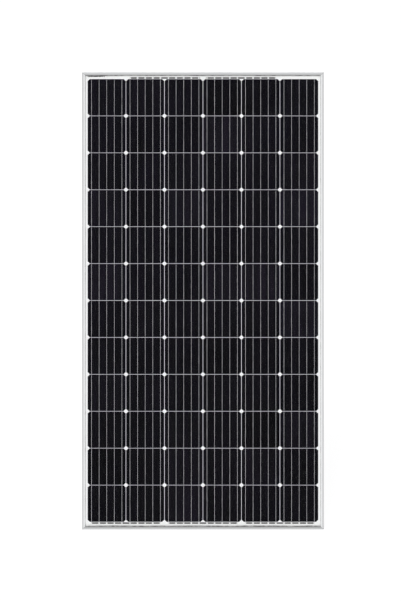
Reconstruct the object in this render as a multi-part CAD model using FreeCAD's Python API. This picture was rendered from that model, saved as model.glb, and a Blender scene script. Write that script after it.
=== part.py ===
import FreeCAD, Part
import os

from FreeCAD import Vector

# A framed 72-cell photovoltaic module, standing upright.
# +Z is up along the long side, +X is to the right seen from the front,
# and the glass faces -Y. The rear mounting plane is y = 0. All sizes in mm.

# ---- overall size -------------------------------------------------------
WIDTH = 992.0
HEIGHT = 1956.0
DEPTH = 40.0
HALF_W = WIDTH / 2
HALF_H = HEIGHT / 2

# ---- frame extrusion ----------------------------------------------------
WALL = 1.6                  # outer wall and inner chamber wall
LIP_WIDTH = 12.0            # front lip seen around the glass
LIP_TIP = 1.2               # lip thickness at its inner edge
SHELF = 1.5                 # shelf behind the laminate, and chamber floor
EDGE_BREAK = 0.5            # small bevel on the outer edges
LIP_BREAK = 0.4             # small bevel on the inner edge of the lip
GROOVE_BACK_Y = -31.9       # front face of the shelf
CHAMBER_BACK_Y = -16.0      # rear face of the hollow chamber
FLANGE_THICK = 1.8
FLANGE_LONG = 35.0          # rear flange of the left and right rails
FLANGE_SHORT = 28.0         # rear flange of the top and bottom rails
MITRE_REACH = 60.0          # depth of the wedge that cuts the 45 degree ends

# ---- holes in the frame -------------------------------------------------
SLOT_X = 471.0              # mounting slots: 942 mm between the two rows
SLOT_ROWS = (-680.0, -430.0, 430.0, 680.0)
SLOT_WIDTH = 9.0
SLOT_LENGTH = 14.0
GROUND_HOLE_Z = 555.0
GROUND_HOLE_R = 2.1
DRAIN_X = 430.0
DRAIN_Y = -9.0
DRAIN_WIDTH = 3.5
DRAIN_LENGTH = 8.0

# ---- corner keys --------------------------------------------------------
KEY_CLEARANCE = 0.1
KEY_LEG = 55.0
KEY_NOTCH_PITCH = 9.0
KEY_NOTCH_DEPTH = 0.8
KEY_NOTCHES = 4

# ---- laminate stack, front to rear --------------------------------------
LAMINATE_HALF_W = 493.0
LAMINATE_HALF_H = 975.0
GLASS_FRONT_Y = -37.5
GLASS_THICK = 3.2
FRONT_EVA_THICK = 0.45
CELL_THICK = 0.2
REAR_EVA_THICK = 0.6
BACKSHEET_THICK = 0.35
GLASS_REAR_Y = GLASS_FRONT_Y + GLASS_THICK
CELL_FRONT_Y = GLASS_REAR_Y + FRONT_EVA_THICK
CELL_REAR_Y = CELL_FRONT_Y + CELL_THICK
REAR_EVA_REAR_Y = CELL_REAR_Y + REAR_EVA_THICK
BACKSHEET_REAR_Y = REAR_EVA_REAR_Y + BACKSHEET_THICK
SEALANT_EDGE = 11.8         # how far the bead comes in from the frame's outer face
SEALANT_FILLET = 4.4        # bead squeezed out between shelf and backsheet

# ---- cells --------------------------------------------------------------
COLUMNS = 6
ROWS = 12
CELL = 156.0
PITCH = 158.0
CHAMFER = 8.5
CELL_GAP = PITCH - CELL
STRING_HALF = (ROWS * PITCH - CELL_GAP) / 2

# ---- ribbons ------------------------------------------------------------
BUSBARS = 5
BUSBAR_PITCH = 31.2
RIBBON_WIDTH = 1.0
RIBBON_THICK = 0.2
RIBBON_FRONT_Y = CELL_FRONT_Y - RIBBON_THICK
RIBBON_REAR_Y = CELL_REAR_Y + RIBBON_THICK
RIBBON_START = 1.5          # a front ribbon starts this far inside the cell edge
RIBBON_STOP = 6.0           # a rear ribbon stops this far before the far edge
RIBBON_STOP_WRAPPED = 40.0  # the same under the insulated end of string 6
BUS_WIDTH = 6.0
BUS_OFFSET_TOP = 2.0        # cell edge to the near edge of a bus ribbon
BUS_OFFSET_BOTTOM = 2.5
BUS_OVERHANG = 2.0          # bus ribbon past the outermost tabbing ribbon
LEAD_FRONT_Y = RIBBON_REAR_Y + 0.2
LEAD_REAR_Y = LEAD_FRONT_Y + 0.15
HIDDEN_BUS_Z = STRING_HALF - 12.0
WRAP_OUT = 1.8              # string 6: ribbon passes the cell edge before it folds back
WRAP_TAIL = 22.0
RISER_Z = 892.0             # where the leads leave through the backsheet
RISER_THICK = 0.2
SLIT_HALF_W = 3.5
SLIT_HALF_H = 1.2
STRIP_HALF_H = 7.0          # insulating band behind the hidden bus ribbons
STRIP_APRON_HALF_W = 52.0
STRIP_APRON_BOTTOM_Z = 886.0
PATCH_HALF_W = 72.0         # insulating patch behind string 6
PATCH_BOTTOM_Z = 922.0

# ---- labels -------------------------------------------------------------
LABEL_THICK = 0.1
SERIAL_X = (-472.0, -403.0)
SERIAL_Z = (956.5, 965.5)
RATING_X = (-310.0, -190.0)
RATING_Z = (770.0, 860.0)

# ---- junction box -------------------------------------------------------
JBOX_HALF_W = 64.0
JBOX_BOTTOM_Z = 809.0
JBOX_TOP_Z = 917.0
JBOX_WALL = 2.2
JBOX_FLOOR = 2.5
JBOX_RIM_Y = -11.5
ADHESIVE_THICK = 1.5
ADHESIVE_INSET = 4.0
JBOX_BACK_Y = BACKSHEET_REAR_Y + ADHESIVE_THICK
JBOX_FLOOR_Y = JBOX_BACK_Y + JBOX_FLOOR
WINDOW_Z = (886.0, 904.0)
WINDOW_HALF = 6.0
WINDOW_MARGIN = 2.0         # adhesive stays this far from the wiring windows

TERMINAL_X = (-45.0, -15.0, 15.0, 45.0)
TERMINAL_HALF = 7.5
TERMINAL_Z = (832.0, 884.0)
TERMINAL_THICK = 0.8
TERMINAL_REST = 1.0         # height of the bars that carry the terminals
TERMINAL_FRONT_Y = JBOX_FLOOR_Y + TERMINAL_REST
TERMINAL_REAR_Y = TERMINAL_FRONT_Y + TERMINAL_THICK
REST_BARS_Z = (842.0, 874.0)
REST_BAR_WIDTH = 4.0
REST_BAR_HALF = 54.0        # half length, and half width of the wiring opening
LEAD_LANDING_Z = 872.0
POST_OFFSET = 4.0
POST_HALF = 1.5
POST_DEPTH = 3.0
CRIMP_R = 2.6
CRIMP_BORE = 1.8
CRIMP_SINK = 0.5            # barrel let into the plate
CRIMP_Z = (821.0, 835.0)

DIODE_Z = 860.0
DIODE_Y = -21.5
DIODE_R = 4.3
DIODE_LENGTH = 9.0
DIODE_LEAD_R = 0.65
DIODE_LEAD_REACH = 12.5     # half the length over both leads

LID_FRONT_Y = -10.8
LID_THICK = 2.3
LID_GAP = 0.4               # lid skirt to box wall
SKIRT_THICK = 1.8
SKIRT_DEPTH = 4.7
SKIRT_TOP_Z = 912.0
LID_RIB_X = (-48.0, -24.0, 0.0, 24.0, 48.0)
LID_RIB_END_GAP = 8.0       # edge of the box to the end of a lid rib
LID_RIB_HEIGHT = 1.1
LID_RIB_THICK = 1.4
GASKET_THICK = 0.4
GASKET_WIDTH = 1.6

HINGE_Y = -10.4            # in front of the lid's weight, so it hangs closed
HINGE_Z = 920.5
HINGE_CENTRES = (-36.0, 36.0)
PIN_R = 1.5
PIN_RUNNING_R = 1.55
EAR_R = 3.2
EAR_WIDTH = 5.0
EAR_FOOT_Y = -17.0          # where an ear starts on the wall of the box
KNUCKLE_R = 3.0
KNUCKLE_HALF = 7.0
HINGE_SIDE_GAP = 0.3

LATCH_X = (-18.0, 18.0)
LATCH_HALF = 5.0
LATCH_REACH = 1.4
LATCH_Y = (-13.9, -12.3)
LATCH_WINDOW_GAP = 0.4

GLAND_X = (-44.0, 44.0)
GLAND_Y = -22.5
SPIGOT_R = 6.5
SPIGOT_LENGTH = 14.0
GLAND_BORE_R = 3.6
SEAL_POCKET_R = 5.0
SEAL_POCKET_DEPTH = 10.0
SEAL_BORE_R = 3.1
SEAL_LENGTH = 9.1
NUT_FLATS_R = 8.4           # half the distance across the flats
NUT_BORE_R = 6.8
NUT_MOUTH_R = 4.0
NUT_LENGTH = 13.6
NUT_CAP = 2.2
NUT_DOME = 3.0              # height of the cone turned on the nut's outer end
NUT_GAP = 0.5

CLEAR = 1.0                 # overrun of cutting tools past a surface
SIDES = {"left": -1, "right": 1}
ENDS = {"bottom": -1, "top": 1}


# ---- basic shapes -------------------------------------------------------
def box(x_range, y_range, z_range):
    """Block between two coordinates on each axis."""
    corner = Vector(x_range[0], y_range[0], z_range[0])
    return Part.makeBox(
        x_range[1] - x_range[0], y_range[1] - y_range[0], z_range[1] - z_range[0], corner)


def extruded(points, direction):
    """Solid made by sweeping a closed outline along a direction."""
    wire = Part.makePolygon(points + points[:1])
    return Part.Face(wire).extrude(direction)


def along_x(outline_yz, x_range):
    points = [Vector(x_range[0], y, z) for y, z in outline_yz]
    return extruded(points, Vector(x_range[1] - x_range[0], 0, 0))


def along_y(outline_xz, y_range):
    points = [Vector(x, y_range[0], z) for x, z in outline_xz]
    return extruded(points, Vector(0, y_range[1] - y_range[0], 0))


def along_z(outline_xy, z_range):
    points = [Vector(x, y, z_range[0]) for x, y in outline_xy]
    return extruded(points, Vector(0, 0, z_range[1] - z_range[0]))


def rod_x(radius, x_range, y, z):
    return Part.makeCylinder(radius, x_range[1] - x_range[0], Vector(x_range[0], y, z), Vector(1, 0, 0))


def rod_y(radius, x, y_range, z):
    return Part.makeCylinder(radius, y_range[1] - y_range[0], Vector(x, y_range[0], z), Vector(0, 1, 0))


def rod_z(radius, x, y, z_range):
    return Part.makeCylinder(radius, z_range[1] - z_range[0], Vector(x, y, z_range[0]), Vector(0, 0, 1))


def around(centre, half):
    return (centre - half, centre + half)


def joined(shapes):
    """One solid from several touching or overlapping ones."""
    return shapes[0].multiFuse(shapes[1:]).removeSplitter()


def without(shape, tools):
    return shape.cut(Part.makeCompound(tools))


# ---- frame --------------------------------------------------------------
def rail_outline(flange):
    """Rail section as (distance in from the outer face, y)."""
    return [
        (0, -DEPTH + EDGE_BREAK),
        (EDGE_BREAK, -DEPTH),
        (LIP_WIDTH - LIP_BREAK, -DEPTH),
        (LIP_WIDTH, -DEPTH + LIP_BREAK),
        (LIP_WIDTH, -DEPTH + LIP_TIP),
        (WALL, -DEPTH + WALL),
        (WALL, GROOVE_BACK_Y),
        (LIP_WIDTH, GROOVE_BACK_Y),
        (LIP_WIDTH, CHAMBER_BACK_Y),
        (WALL, CHAMBER_BACK_Y),
        (WALL, -FLANGE_THICK),
        (flange, -FLANGE_THICK),
        (flange, 0),
        (EDGE_BREAK, 0),
        (0, -EDGE_BREAK),
    ]


def chamber_outline():
    """Hollow inside the rail that takes the corner key."""
    inner = LIP_WIDTH - WALL
    front = GROOVE_BACK_Y + SHELF
    rear = CHAMBER_BACK_Y - SHELF
    return [(WALL, front), (inner, front), (inner, rear), (WALL, rear)]


def sealant_outline():
    """Bead that wraps the laminate edge in the groove, with a rear fillet."""
    edge = HALF_W - LAMINATE_HALF_W
    return [
        (WALL, -DEPTH + WALL),
        (SEALANT_EDGE, -DEPTH + WALL),
        (SEALANT_EDGE, GLASS_FRONT_Y),
        (edge, GLASS_FRONT_Y),
        (edge, BACKSHEET_REAR_Y),
        (LIP_WIDTH + SEALANT_FILLET, BACKSHEET_REAR_Y),
        (LIP_WIDTH, BACKSHEET_REAR_Y + SEALANT_FILLET),
        (LIP_WIDTH, GROOVE_BACK_Y),
        (WALL, GROOVE_BACK_Y),
    ]


def side_sweep(sign, outline):
    """Sweep a section up the left (-1) or right (+1) side."""
    points = [(sign * (HALF_W - inward), y) for inward, y in outline]
    return along_z(points, (-HALF_H, HALF_H))


def end_sweep(sign, outline):
    """Sweep a section along the bottom (-1) or top (+1) end."""
    points = [(y, sign * (HALF_H - inward)) for inward, y in outline]
    return along_x(points, (-HALF_W, HALF_W))


def side_wedge(sign):
    """Region of a side rail between its two 45 degree mitre planes."""
    reach = MITRE_REACH
    outline = [
        (sign * HALF_W, -HALF_H),
        (sign * HALF_W, HALF_H),
        (sign * (HALF_W - reach), HALF_H - reach),
        (sign * (HALF_W - reach), reach - HALF_H),
    ]
    return along_y(outline, (-DEPTH - CLEAR, CLEAR))


def end_wedge(sign):
    """Region of an end rail between its two 45 degree mitre planes."""
    reach = MITRE_REACH
    outline = [
        (-HALF_W, sign * HALF_H),
        (HALF_W, sign * HALF_H),
        (HALF_W - reach, sign * (HALF_H - reach)),
        (reach - HALF_W, sign * (HALF_H - reach)),
    ]
    return along_y(outline, (-DEPTH - CLEAR, CLEAR))


def mounting_slot(x, z):
    """Rounded slot through the rear flange, long way up."""
    radius = SLOT_WIDTH / 2
    straight = (SLOT_LENGTH - SLOT_WIDTH) / 2
    through = (-FLANGE_THICK - CLEAR, CLEAR)
    parts = [box(around(x, radius), through, around(z, straight))]
    for offset in (-straight, straight):
        parts.append(rod_y(radius, x, through, z + offset))
    return joined(parts)


def drain_slot(x, sign):
    """Rounded slot through the outer wall of an end rail, long way across."""
    radius = DRAIN_WIDTH / 2
    straight = (DRAIN_LENGTH - DRAIN_WIDTH) / 2
    through = around(sign * (HALF_H - WALL / 2), WALL / 2 + CLEAR)
    parts = [box(around(x, straight), around(DRAIN_Y, radius), through)]
    for offset in (-straight, straight):
        parts.append(rod_z(radius, x + offset, DRAIN_Y, through))
    return joined(parts)


def side_rail(sign):
    solid = side_sweep(sign, rail_outline(FLANGE_LONG))
    solid = solid.cut(side_sweep(sign, chamber_outline()))
    solid = solid.common(side_wedge(sign))
    x = sign * SLOT_X
    tools = [mounting_slot(x, z) for z in SLOT_ROWS]
    for z in (-GROUND_HOLE_Z, GROUND_HOLE_Z):
        tools.append(rod_y(GROUND_HOLE_R, x, (-FLANGE_THICK - CLEAR, CLEAR), z))
    return without(solid, tools)


def end_rail(sign):
    solid = end_sweep(sign, rail_outline(FLANGE_SHORT))
    solid = solid.cut(end_sweep(sign, chamber_outline()))
    solid = solid.common(end_wedge(sign))
    return without(solid, [drain_slot(x, sign) for x in (-DRAIN_X, DRAIN_X)])


def corner_key(x_sign, z_sign):
    """L-shaped key with gripping notches, pressed into both chambers."""
    outer = WALL + KEY_CLEARANCE
    inner = LIP_WIDTH - WALL - KEY_CLEARANCE
    end = outer + KEY_LEG
    outline = [(outer, outer), (outer, end), (inner, end)]
    for notch in range(KEY_NOTCHES, 0, -1):
        centre = inner + notch * KEY_NOTCH_PITCH
        outline.append((inner, centre + KEY_NOTCH_DEPTH))
        outline.append((inner - KEY_NOTCH_DEPTH, centre))
        outline.append((inner, centre - KEY_NOTCH_DEPTH))
    outline.append((inner, inner))
    for notch in range(1, KEY_NOTCHES + 1):
        centre = inner + notch * KEY_NOTCH_PITCH
        outline.append((centre - KEY_NOTCH_DEPTH, inner))
        outline.append((centre, inner - KEY_NOTCH_DEPTH))
        outline.append((centre + KEY_NOTCH_DEPTH, inner))
    outline += [(end, inner), (end, outer)]
    placed = [(x_sign * (HALF_W - u), z_sign * (HALF_H - v)) for u, v in outline]
    front = GROOVE_BACK_Y + SHELF + KEY_CLEARANCE
    rear = CHAMBER_BACK_Y - SHELF - KEY_CLEARANCE
    return along_y(placed, (front, rear))


# ---- cells and ribbons --------------------------------------------------
def column_x(column):
    """Centre of a string, counted 1 to 6 from the left."""
    return (column - (COLUMNS + 1) / 2) * PITCH


def runs_down(column):
    """Odd strings carry their current path downwards, even strings upwards."""
    return column % 2 == 1


def busbar_x(column):
    middle = (BUSBARS - 1) / 2
    return [column_x(column) + (index - middle) * BUSBAR_PITCH for index in range(BUSBARS)]


def cell(x, z):
    """Pseudo-square wafer with cut corners."""
    half = CELL / 2
    flat = half - CHAMFER
    outline = [
        (-flat, -half), (flat, -half), (half, -flat), (half, flat),
        (flat, half), (-flat, half), (-half, flat), (-half, -flat),
    ]
    return along_y([(x + u, z + v) for u, v in outline], (CELL_FRONT_Y, CELL_REAR_Y))


def cell_string(column):
    rows = [(row - (ROWS - 1) / 2) * PITCH for row in range(ROWS)]
    return Part.makeCompound([cell(column_x(column), z) for z in rows])


def linking_ribbon(start, rear_stop):
    """Ribbon section from the front of one cell to the rear of the next.

    start is the path position of the first cell's leading edge."""
    edge = start - CELL
    next_edge = edge - CELL_GAP
    last = next_edge - CELL + rear_stop
    return [
        (RIBBON_FRONT_Y, start - RIBBON_START),
        (RIBBON_FRONT_Y, edge),
        (CELL_REAR_Y, next_edge),
        (CELL_REAR_Y, last),
        (RIBBON_REAR_Y, last),
        (RIBBON_REAR_Y, next_edge),
        (CELL_FRONT_Y, edge),
        (CELL_FRONT_Y, start - RIBBON_START),
    ]


def bus_offset(z_sign):
    """Cell edge to the near edge of the bus at the bottom (-1) or top (+1)."""
    return BUS_OFFSET_TOP if z_sign > 0 else BUS_OFFSET_BOTTOM


def first_ribbon(top):
    """Rear ribbon of the first cell of a string, reaching its bus."""
    last = STRING_HALF - CELL + RIBBON_STOP
    return [(CELL_REAR_Y, top), (CELL_REAR_Y, last), (RIBBON_REAR_Y, last), (RIBBON_REAR_Y, top)]


def last_ribbon(offset):
    """Front ribbon of the last cell, stepping back onto its bus."""
    start = CELL - STRING_HALF - RIBBON_START
    edge = -STRING_HALF
    step = edge - CELL_GAP
    tail = edge - offset - BUS_WIDTH
    return [
        (RIBBON_FRONT_Y, start), (RIBBON_FRONT_Y, edge), (CELL_REAR_Y, step), (CELL_REAR_Y, tail),
        (RIBBON_REAR_Y, tail), (RIBBON_REAR_Y, step), (CELL_FRONT_Y, edge), (CELL_FRONT_Y, start),
    ]


def wrapped_ribbon():
    """Front ribbon of string 6's last cell, folded back behind the cell."""
    start = CELL - STRING_HALF - RIBBON_START
    outside = -STRING_HALF - WRAP_OUT
    inside = outside + RIBBON_THICK
    tail = -STRING_HALF + WRAP_TAIL
    return [
        (RIBBON_FRONT_Y, start), (RIBBON_FRONT_Y, outside), (LEAD_FRONT_Y, outside),
        (LEAD_FRONT_Y, tail), (RIBBON_REAR_Y, tail), (RIBBON_REAR_Y, inside),
        (CELL_FRONT_Y, inside), (CELL_FRONT_Y, start),
    ]


def ribbon_sections(column):
    """All ribbon sections of a string, as (y, path position) outlines."""
    start_sign = 1 if runs_down(column) else -1
    hidden_start = column == 1
    wrapped_end = column == COLUMNS
    if hidden_start:
        sections = [first_ribbon(STRING_HALF - RIBBON_START)]
    else:
        sections = [first_ribbon(STRING_HALF + bus_offset(start_sign) + BUS_WIDTH)]
    for index in range(ROWS - 1):
        stop = RIBBON_STOP
        if wrapped_end and index == ROWS - 2:
            stop = RIBBON_STOP_WRAPPED
        sections.append(linking_ribbon(STRING_HALF - index * PITCH, stop))
    if wrapped_end:
        sections.append(wrapped_ribbon())
    else:
        sections.append(last_ribbon(bus_offset(-start_sign)))
    return sections


def tabbing_ribbons(column):
    flow = 1 if runs_down(column) else -1
    solids = []
    for section in ribbon_sections(column):
        outline = [(y, flow * position) for y, position in section]
        for x in busbar_x(column):
            solids.append(along_x(outline, around(x, RIBBON_WIDTH / 2)))
    return Part.makeCompound(solids)


def lead_to_terminal(x, top):
    """Lead that runs down inside the laminate and out to a terminal."""
    wide = around(x, BUS_WIDTH / 2)
    inside = box(wide, (LEAD_FRONT_Y, LEAD_REAR_Y), (RISER_Z, top))
    riser = box(wide, (LEAD_FRONT_Y, TERMINAL_REAR_Y + RISER_THICK), (RISER_Z, RISER_Z + RISER_THICK))
    landing = box(
        wide, (TERMINAL_REAR_Y, TERMINAL_REAR_Y + RISER_THICK), (LEAD_LANDING_Z, RISER_Z + RISER_THICK))
    return [inside, riser, landing]


def bus_span(left_column, right_column):
    return (busbar_x(left_column)[0] - BUS_OVERHANG, busbar_x(right_column)[-1] + BUS_OVERHANG)


def bus_bottom(left_column):
    near = -STRING_HALF - BUS_OFFSET_BOTTOM
    span = bus_span(left_column, left_column + 1)
    return box(span, (RIBBON_REAR_Y, LEAD_REAR_Y), (near - BUS_WIDTH, near))


def bus_top(left_column, terminal_x):
    near = STRING_HALF + BUS_OFFSET_TOP
    span = bus_span(left_column, left_column + 1)
    lead_edges = around(terminal_x, BUS_WIDTH / 2)
    span = (min(span[0], lead_edges[0]), max(span[1], lead_edges[1]))
    bar = box(span, (RIBBON_REAR_Y, LEAD_REAR_Y), (near, near + BUS_WIDTH))
    return joined([bar] + lead_to_terminal(terminal_x, near))


def lead_out(column, terminal_x):
    """Hidden bus behind the top cell of string 1 or 6, led to its terminal."""
    sign = -1 if column == 1 else 1
    bars = busbar_x(column)
    outer = sign * (abs(column_x(column)) + abs(bars[0] - column_x(column)) + BUS_OVERHANG)
    inner = sign * (abs(column_x(column)) - abs(bars[0] - column_x(column)) - BUS_OVERHANG)
    end = terminal_x - sign * BUS_WIDTH / 2
    height = around(HIDDEN_BUS_Z, BUS_WIDTH / 2)
    contact_y = RIBBON_REAR_Y if column == 1 else LEAD_FRONT_Y
    collector = box(sorted((outer, inner)), (contact_y, LEAD_REAR_Y), height)
    run = box(sorted((outer, end)), (LEAD_FRONT_Y, LEAD_REAR_Y), height)
    return joined([collector, run] + lead_to_terminal(terminal_x, height[1]))


def insulation_strip():
    """Keeps the leads off the rear of strings 2 to 5."""
    depth = (RIBBON_REAR_Y, LEAD_FRONT_Y)
    half_width = 2 * PITCH
    band = box((-half_width, half_width), depth, around(HIDDEN_BUS_Z, STRIP_HALF_H))
    apron = box(around(0, STRIP_APRON_HALF_W), depth, (STRIP_APRON_BOTTOM_Z, STRING_HALF + CELL_GAP))
    return joined([band, apron])


def insulation_patch():
    """Keeps the folded ribbons off the rear of string 6's top cell."""
    wide = around(column_x(COLUMNS), PATCH_HALF_W)
    return box(wide, (CELL_REAR_Y, RIBBON_REAR_Y), (PATCH_BOTTOM_Z, STRING_HALF + WRAP_OUT - RIBBON_THICK))


# ---- laminate sheets ----------------------------------------------------
def sheet(front_y, rear_y):
    half_w = LAMINATE_HALF_W
    half_h = LAMINATE_HALF_H
    return box((-half_w, half_w), (front_y, rear_y), (-half_h, half_h))


def serial_label():
    return box(SERIAL_X, (GLASS_REAR_Y, GLASS_REAR_Y + LABEL_THICK), SERIAL_Z)


def rating_label():
    return box(RATING_X, (BACKSHEET_REAR_Y, BACKSHEET_REAR_Y + LABEL_THICK), RATING_Z)


def front_encapsulant():
    """Clear sheet over the cells, moulded around strings, ribbons and label."""
    reach = STRING_HALF + CELL_GAP
    tools = [serial_label()]
    for column in range(1, COLUMNS + 1):
        wide = around(column_x(column), CELL / 2)
        tools.append(box(wide, (CELL_FRONT_Y, CELL_REAR_Y), (-reach, reach)))
        for x in busbar_x(column):
            tools.append(box(around(x, RIBBON_WIDTH / 2), (RIBBON_FRONT_Y, CELL_FRONT_Y), (-reach, reach)))
    return without(sheet(GLASS_REAR_Y, CELL_REAR_Y), tools)


def exit_slits(y_range):
    return [box(around(x, SLIT_HALF_W), y_range, around(RISER_Z, SLIT_HALF_H)) for x in TERMINAL_X]


def rear_encapsulant(buried):
    """Clear sheet behind the cells, moulded around everything buried in it."""
    reach = (-STRING_HALF - BUS_OFFSET_BOTTOM - BUS_WIDTH, STRING_HALF + BUS_OFFSET_TOP + BUS_WIDTH)
    tools = list(buried)
    for column in range(1, COLUMNS + 1):
        for x in busbar_x(column):
            tools.append(box(around(x, RIBBON_WIDTH / 2), (CELL_REAR_Y, RIBBON_REAR_Y), reach))
    tails = around(STRING_HALF, WRAP_TAIL)
    for x in busbar_x(COLUMNS):
        wide = around(x, RIBBON_WIDTH / 2)
        tail = (tails[0], STRING_HALF + WRAP_OUT)
        tools.append(box(wide, (RIBBON_REAR_Y, LEAD_FRONT_Y), tail))
    tools += exit_slits((LEAD_FRONT_Y, REAR_EVA_REAR_Y))
    return without(sheet(CELL_REAR_Y, REAR_EVA_REAR_Y), tools)


def backsheet():
    return without(
        sheet(REAR_EVA_REAR_Y, BACKSHEET_REAR_Y), exit_slits((REAR_EVA_REAR_Y, BACKSHEET_REAR_Y)))


# ---- junction box -------------------------------------------------------
def gland_spigot(x):
    base = JBOX_BOTTOM_Z
    return rod_z(SPIGOT_R, x, GLAND_Y, (base - SPIGOT_LENGTH, base + JBOX_WALL / 2))


def gland_bores(x):
    mouth = JBOX_BOTTOM_Z - SPIGOT_LENGTH
    pocket = rod_z(SEAL_POCKET_R, x, GLAND_Y, (mouth - CLEAR, mouth + SEAL_POCKET_DEPTH))
    bore = rod_z(GLAND_BORE_R, x, GLAND_Y, (mouth, JBOX_BOTTOM_Z + JBOX_WALL + CLEAR))
    return [pocket, bore]


def hinge_ears(centre):
    """Two ears with a pin hole, standing off the top wall of the box."""
    ears = []
    for sign in (-1, 1):
        near = centre + sign * (KNUCKLE_HALF + HINGE_SIDE_GAP)
        span = sorted((near, near + sign * EAR_WIDTH))
        foot = box(span, (EAR_FOOT_Y, JBOX_RIM_Y), (JBOX_TOP_Z, HINGE_Z + EAR_R))
        neck = box(span, (JBOX_RIM_Y, HINGE_Y), (JBOX_TOP_Z + CLEAR / 2, HINGE_Z + EAR_R))
        eye = rod_x(EAR_R, span, HINGE_Y, HINGE_Z)
        ears += [foot, neck, eye]
    return ears


def latch_catch(x):
    """Wedge on the bottom wall that the lid's skirt window snaps over."""
    outline = [
        (LATCH_Y[0], JBOX_BOTTOM_Z),
        (LATCH_Y[0], JBOX_BOTTOM_Z - LATCH_REACH),
        (LATCH_Y[1], JBOX_BOTTOM_Z),
    ]
    return along_x(outline, around(x, LATCH_HALF))


def jbox_base():
    """Moulded box: floor, walls, ribs, hinge ears, catches and gland spigots."""
    outer_x = around(0, JBOX_HALF_W)
    outer_z = (JBOX_BOTTOM_Z, JBOX_TOP_Z)
    inner_x = around(0, JBOX_HALF_W - JBOX_WALL)
    inner_z = (JBOX_BOTTOM_Z + JBOX_WALL, JBOX_TOP_Z - JBOX_WALL)
    body = box(outer_x, (JBOX_BACK_Y, JBOX_RIM_Y), outer_z)
    body = body.cut(box(inner_x, (JBOX_FLOOR_Y, JBOX_RIM_Y + CLEAR), inner_z))
    additions = [gland_spigot(x) for x in GLAND_X]
    additions += [latch_catch(x) for x in LATCH_X]
    for centre in HINGE_CENTRES:
        additions += hinge_ears(centre)
    for z in REST_BARS_Z:
        additions.append(
            box(around(0, REST_BAR_HALF), (JBOX_FLOOR_Y, TERMINAL_FRONT_Y), around(z, REST_BAR_WIDTH / 2)))
    body = joined([body] + additions)
    tools = [box(around(x, WINDOW_HALF), (JBOX_BACK_Y, JBOX_FLOOR_Y), WINDOW_Z) for x in TERMINAL_X]
    for x in GLAND_X:
        tools += gland_bores(x)
    for centre in HINGE_CENTRES:
        reach = KNUCKLE_HALF + HINGE_SIDE_GAP + EAR_WIDTH
        tools.append(rod_x(PIN_R, around(centre, reach), HINGE_Y, HINGE_Z))
    return without(body, tools)


def jbox_adhesive():
    """Silicone bed between the box and the backsheet."""
    inset = ADHESIVE_INSET
    depth = (BACKSHEET_REAR_Y, JBOX_BACK_Y)
    bed = box(around(0, JBOX_HALF_W - inset), depth, (JBOX_BOTTOM_Z + inset, JBOX_TOP_Z - inset))
    opening_z = (WINDOW_Z[0] - WINDOW_MARGIN, WINDOW_Z[1] + WINDOW_MARGIN)
    return bed.cut(box(around(0, REST_BAR_HALF), depth, opening_z))


def lid_skirt():
    """Rim down three sides of the lid, with two snap windows below."""
    inner = JBOX_HALF_W + LID_GAP
    outer = inner + SKIRT_THICK
    depth = (LID_FRONT_Y - SKIRT_DEPTH, LID_FRONT_Y)
    low_inner = JBOX_BOTTOM_Z - LID_GAP
    low_outer = low_inner - SKIRT_THICK
    parts = [
        box((-outer, -inner), depth, (low_outer, SKIRT_TOP_Z)),
        box((inner, outer), depth, (low_outer, SKIRT_TOP_Z)),
        box((-outer, outer), depth, (low_outer, low_inner)),
    ]
    window_y = (LATCH_Y[0] - LATCH_WINDOW_GAP, LATCH_Y[1] + LATCH_WINDOW_GAP)
    windows = []
    for x in LATCH_X:
        wide = around(x, LATCH_HALF + LATCH_WINDOW_GAP)
        windows.append(box(wide, window_y, (low_outer - CLEAR, low_inner + CLEAR)))
    return without(joined(parts), windows)


def jbox_lid():
    outer = JBOX_HALF_W + LID_GAP + SKIRT_THICK
    low = JBOX_BOTTOM_Z - LID_GAP - SKIRT_THICK
    depth = (LID_FRONT_Y, LID_FRONT_Y + LID_THICK)
    parts = [box(around(0, outer), depth, (low, JBOX_TOP_Z)), lid_skirt()]
    rib_depth = (LID_FRONT_Y - LID_RIB_HEIGHT, LID_FRONT_Y)
    rib_z = (JBOX_BOTTOM_Z + LID_RIB_END_GAP, JBOX_TOP_Z - LID_RIB_END_GAP)
    for x in LID_RIB_X:
        parts.append(box(around(x, LID_RIB_THICK / 2), rib_depth, rib_z))
    for centre in HINGE_CENTRES:
        span = around(centre, KNUCKLE_HALF)
        parts.append(box(span, depth, (JBOX_TOP_Z - CLEAR, HINGE_Z)))
        parts.append(rod_x(KNUCKLE_R, span, HINGE_Y, HINGE_Z))
    lid = joined(parts)
    bores = []
    for centre in HINGE_CENTRES:
        bores.append(rod_x(PIN_RUNNING_R, around(centre, KNUCKLE_HALF + CLEAR), HINGE_Y, HINGE_Z))
    return without(lid, bores)


def jbox_gasket():
    """Foam ring under the lid, just above the rim of the box."""
    middle = JBOX_WALL / 2
    outer_x = JBOX_HALF_W - middle + GASKET_WIDTH / 2
    outer_z = (JBOX_BOTTOM_Z + middle - GASKET_WIDTH / 2, JBOX_TOP_Z - middle + GASKET_WIDTH / 2)
    depth = (LID_FRONT_Y - GASKET_THICK, LID_FRONT_Y)
    ring = box(around(0, outer_x), depth, outer_z)
    hole_z = (outer_z[0] + GASKET_WIDTH, outer_z[1] - GASKET_WIDTH)
    return ring.cut(box(around(0, outer_x - GASKET_WIDTH), depth, hole_z))


def hinge_pins():
    reach = KNUCKLE_HALF + HINGE_SIDE_GAP + EAR_WIDTH
    return Part.makeCompound(
        [rod_x(PIN_R, around(centre, reach), HINGE_Y, HINGE_Z) for centre in HINGE_CENTRES])


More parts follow.
